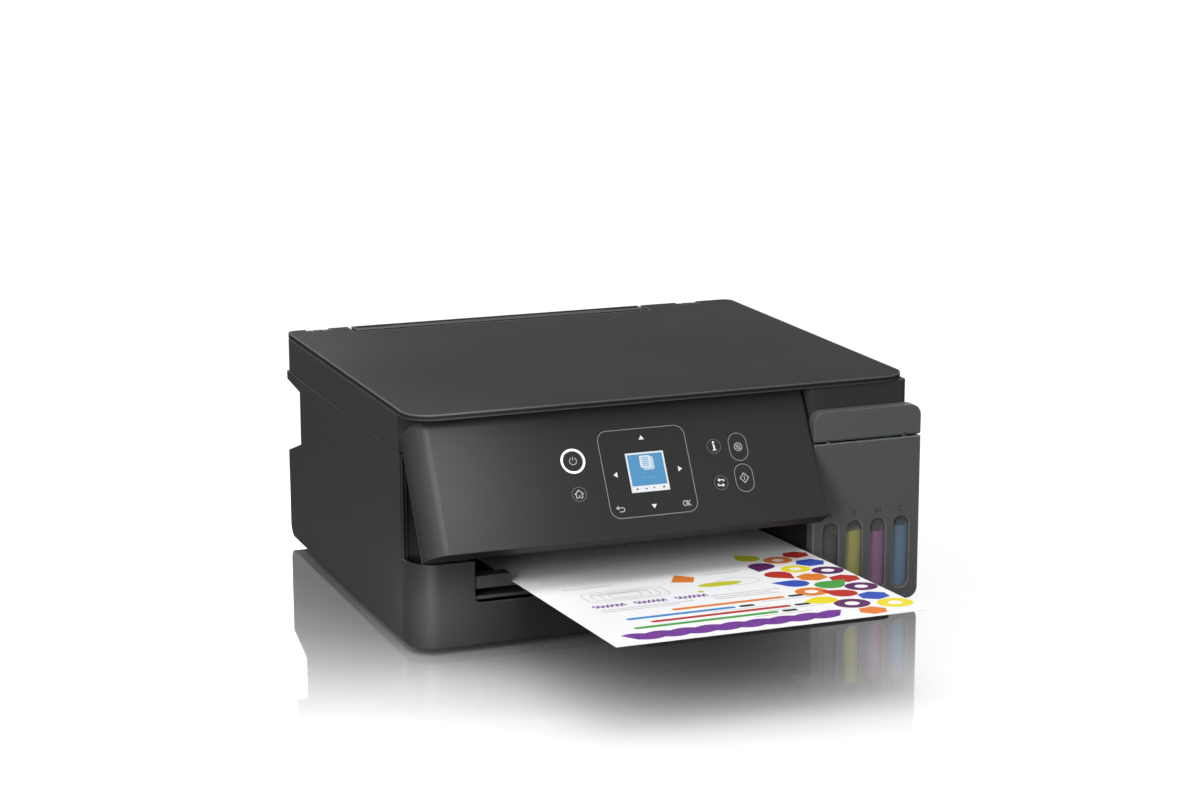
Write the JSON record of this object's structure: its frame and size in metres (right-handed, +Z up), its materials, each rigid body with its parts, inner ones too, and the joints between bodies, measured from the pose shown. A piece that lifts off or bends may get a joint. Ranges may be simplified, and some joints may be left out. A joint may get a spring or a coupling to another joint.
{
  "type": "inkjet printer",
  "caption": "Inkjet printer with a flat scanner under a lid, a tilting control panel, pull-out output tray, rear paper feed and a front ink tank unit with windows.",
  "frame": {"origin": "on the floor, under the middle foot: midway across the overall width, and midway between the front cover's face and the back", "axes": "+Z up, +Y to the back, so the front faces -Y and the control panel's left end is at -X"},
  "size_m": [0.375, 0.5082, 0.1654],
  "materials": {
    "cover_black": "fine-grained charcoal black moulding",
    "lid_black": "fine-grained charcoal black moulding",
    "panel_grey": "satin dark grey moulding",
    "tank_grey": "satin mid grey moulding",
    "inner_black": "matt black inner moulding",
    "key_grey": "smooth dark key cap",
    "light_ring": "milky light guide, lit white",
    "window_black": "glossy black window",
    "screen": "lit blue display",
    "steel": "plain zinc-plated steel",
    "polished_steel": "polished rod",
    "rubber": "soft black rubber",
    "roller_coat": "gritty grey coating",
    "glass": "clear float glass",
    "mat_white": "white foam-backed sheet",
    "paper": "printed white paper",
    "tank_clear": "smoky translucent plastic",
    "cap_black": "black soft cap",
    "cap_yellow": "yellow soft cap",
    "cap_magenta": "magenta soft cap",
    "cap_cyan": "cyan soft cap",
    "tube": "clear-grey flexible tube",
    "acetal": "white acetal",
    "board": "green circuit board and plated case"
  },
  "bodies": {
    "base": {"base_pan": "inner_black", "left_cover": "cover_black", "right_cover": "cover_black", "rear_cover": "cover_black", "front_cover": "cover_black", "top_deck": "inner_black", "bulkhead": "inner_black", "output_deck": "panel_grey", "rubber_feet": "rubber", "case_screws": "steel", "scanner_hinge_pins": "polished_steel", "tank_housing": "inner_black", "tank_front": "tank_grey", "ink_reservoir": "tank_clear", "ink_tubes": "tube", "feeder_frame": "cover_black", "main_frame": "steel", "platen": "inner_black", "carriage_belt": "rubber", "motors": "steel", "maintenance_station": "inner_black", "electronics": "board", "rear_ports": "inner_black"},
    "scanner": {"scanner_base": "cover_black", "scanner_frame": "cover_black", "scanner_glass": "glass", "scan_rod": "polished_steel", "lid_hinges": "cover_black"},
    "lid": {"document_lid": "lid_black", "lid_mat": "mat_white"},
    "scan_bar": {"scan_bar": "inner_black"},
    "panel": {"panel_shell": "panel_grey", "panel_back": "inner_black", "panel_window": "window_black", "display": "screen", "power_ring": "light_ring"},
    "power_key": {"power_key": "key_grey"},
    "home_key": {"home_key": "key_grey"},
    "info_key": {"info_key": "key_grey"},
    "copy_key": {"copy_key": "key_grey"},
    "stop_key": {"stop_key": "key_grey"},
    "start_key": {"start_key": "key_grey"},
    "tank_flap": {"tank_flap": "tank_grey"},
    "cap_black": {"cap_black": "cap_black"},
    "cap_yellow": {"cap_yellow": "cap_yellow"},
    "cap_magenta": {"cap_magenta": "cap_magenta"},
    "cap_cyan": {"cap_cyan": "cap_cyan"},
    "tray": {"output_tray": "panel_grey"},
    "tray_extension": {"tray_extension": "panel_grey"},
    "sheet": {"printed_sheet": "paper"},
    "feeder_guard": {"feeder_guard": "cover_black"},
    "paper_support": {"paper_support": "panel_grey"},
    "guide_left": {"edge_guide_left": "panel_grey"},
    "guide_right": {"edge_guide_right": "panel_grey"},
    "carriage": {"carriage": "inner_black", "print_head": "steel"},
    "feed_roller": {"feed_roller": "roller_coat"},
    "idler_gear": {"idler_gear": "acetal"},
    "exit_roller": {"exit_roller": "rubber"},
    "pickup_roller": {"pickup_roller": "rubber"}
  },
  "joints": [
    {"name": "scanner_hinge", "type": "hinge", "parent": "base", "child": "scanner", "pos_m": [-0.017, 0.156, 0.1565], "axis": [-1, 0, 0], "range_deg": [0, 30]},
    {"name": "lid_hinge", "type": "hinge", "parent": "scanner", "child": "lid", "pos_m": [-0.0025, 0.1565, 0.1634], "axis": [-1, 0, 0], "range_deg": [0, 78]},
    {"name": "scan_bar_slide", "type": "slide", "parent": "scanner", "child": "scan_bar", "axis": [1, 0, 0], "range_m": [0, 0.262]},
    {"name": "panel_tilt", "type": "hinge", "parent": "base", "child": "panel", "pos_m": [-0.042, -0.14385, 0.15064], "axis": [-1, 0, 0], "range_deg": [-27, 25]},
    {"name": "power_press", "type": "slide", "parent": "panel", "child": "power_key", "axis": [0, 0.866, -0.5], "range_m": [0, 0.0006], "stiffness_N_per_m": 400, "springref_m": -0.0006},
    {"name": "home_press", "type": "slide", "parent": "panel", "child": "home_key", "axis": [0, 0.866, -0.5], "range_m": [0, 0.0006], "stiffness_N_per_m": 400, "springref_m": -0.0006},
    {"name": "info_press", "type": "slide", "parent": "panel", "child": "info_key", "axis": [0, 0.866, -0.5], "range_m": [0, 0.0006], "stiffness_N_per_m": 400, "springref_m": -0.0006},
    {"name": "copy_press", "type": "slide", "parent": "panel", "child": "copy_key", "axis": [0, 0.866, -0.5], "range_m": [0, 0.0006], "stiffness_N_per_m": 400, "springref_m": -0.0006},
    {"name": "stop_press", "type": "slide", "parent": "panel", "child": "stop_key", "axis": [0, 0.866, -0.5], "range_m": [0, 0.0006], "stiffness_N_per_m": 400, "springref_m": -0.0006},
    {"name": "start_press", "type": "slide", "parent": "panel", "child": "start_key", "axis": [0, 0.866, -0.5], "range_m": [0, 0.0006], "stiffness_N_per_m": 400, "springref_m": -0.0006},
    {"name": "tank_flap_hinge", "type": "hinge", "parent": "base", "child": "tank_flap", "pos_m": [0.1459, -0.1625, 0.1255], "axis": [1, 0, 0], "range_deg": [0, 90]},
    {"name": "cap_black_hinge", "type": "hinge", "parent": "base", "child": "cap_black", "pos_m": [0.11815, -0.1315, 0.1151], "axis": [-1, 0, 0], "range_deg": [0, 100]},
    {"name": "cap_yellow_hinge", "type": "hinge", "parent": "base", "child": "cap_yellow", "pos_m": [0.13665, -0.1315, 0.1151], "axis": [-1, 0, 0], "range_deg": [0, 100]},
    {"name": "cap_magenta_hinge", "type": "hinge", "parent": "base", "child": "cap_magenta", "pos_m": [0.15515, -0.1315, 0.1151], "axis": [-1, 0, 0], "range_deg": [0, 100]},
    {"name": "cap_cyan_hinge", "type": "hinge", "parent": "base", "child": "cap_cyan", "pos_m": [0.17365, -0.1315, 0.1151], "axis": [-1, 0, 0], "range_deg": [0, 100]},
    {"name": "tray_slide", "type": "slide", "parent": "base", "child": "tray", "axis": [0, -0.9976, 0.0698], "range_m": [-0.097, 0]},
    {"name": "tray_extension_slide", "type": "slide", "parent": "tray", "child": "tray_extension", "axis": [0, -0.9976, 0.0698], "range_m": [-0.083, 0]},
    {"name": "sheet_exit", "type": "slide", "parent": "base", "child": "sheet", "axis": [0, -0.9986, 0.0523], "range_m": [0, 0.3]},
    {"name": "feeder_guard_hinge", "type": "hinge", "parent": "base", "child": "feeder_guard", "pos_m": [-0.017, 0.1439, 0.1636], "axis": [1, 0, 0], "range_deg": [0, 70]},
    {"name": "paper_support_slide", "type": "slide", "parent": "base", "child": "paper_support", "axis": [0, 0.1736, 0.9848], "range_m": [0, 0.06]},
    {"name": "guide_left_slide", "type": "slide", "parent": "base", "child": "guide_left", "axis": [1, 0, 0], "range_m": [0, 0.05]},
    {"name": "guide_right_slide", "type": "slide", "parent": "base", "child": "guide_right", "axis": [-1, 0, 0], "range_m": [0, 0.05]},
    {"name": "carriage_slide", "type": "slide", "parent": "base", "child": "carriage", "axis": [-1, 0, 0], "range_m": [0, 0.262]},
    {"name": "feed_roller_spin", "type": "hinge", "parent": "base", "child": "feed_roller", "pos_m": [0, 0.044, 0.051], "axis": [1, 0, 0], "continuous": true},
    {"name": "idler_gear_spin", "type": "hinge", "parent": "base", "child": "idler_gear", "pos_m": [-0.178, 0.015, 0.051], "axis": [1, 0, 0], "continuous": true},
    {"name": "exit_roller_spin", "type": "hinge", "parent": "base", "child": "exit_roller", "pos_m": [0, -0.014, 0.051], "axis": [1, 0, 0], "continuous": true},
    {"name": "pickup_roller_spin", "type": "hinge", "parent": "base", "child": "pickup_roller", "pos_m": [-0.017, 0.12845, 0.09883], "axis": [1, 0, 0], "continuous": true}
  ],
  "couplings": [
    {"joint": "guide_right_slide", "follows": "guide_left_slide", "ratio": 1},
    {"joint": "idler_gear_spin", "follows": "feed_roller_spin", "ratio": -1.0714},
    {"joint": "exit_roller_spin", "follows": "feed_roller_spin", "ratio": 1}
  ]
}
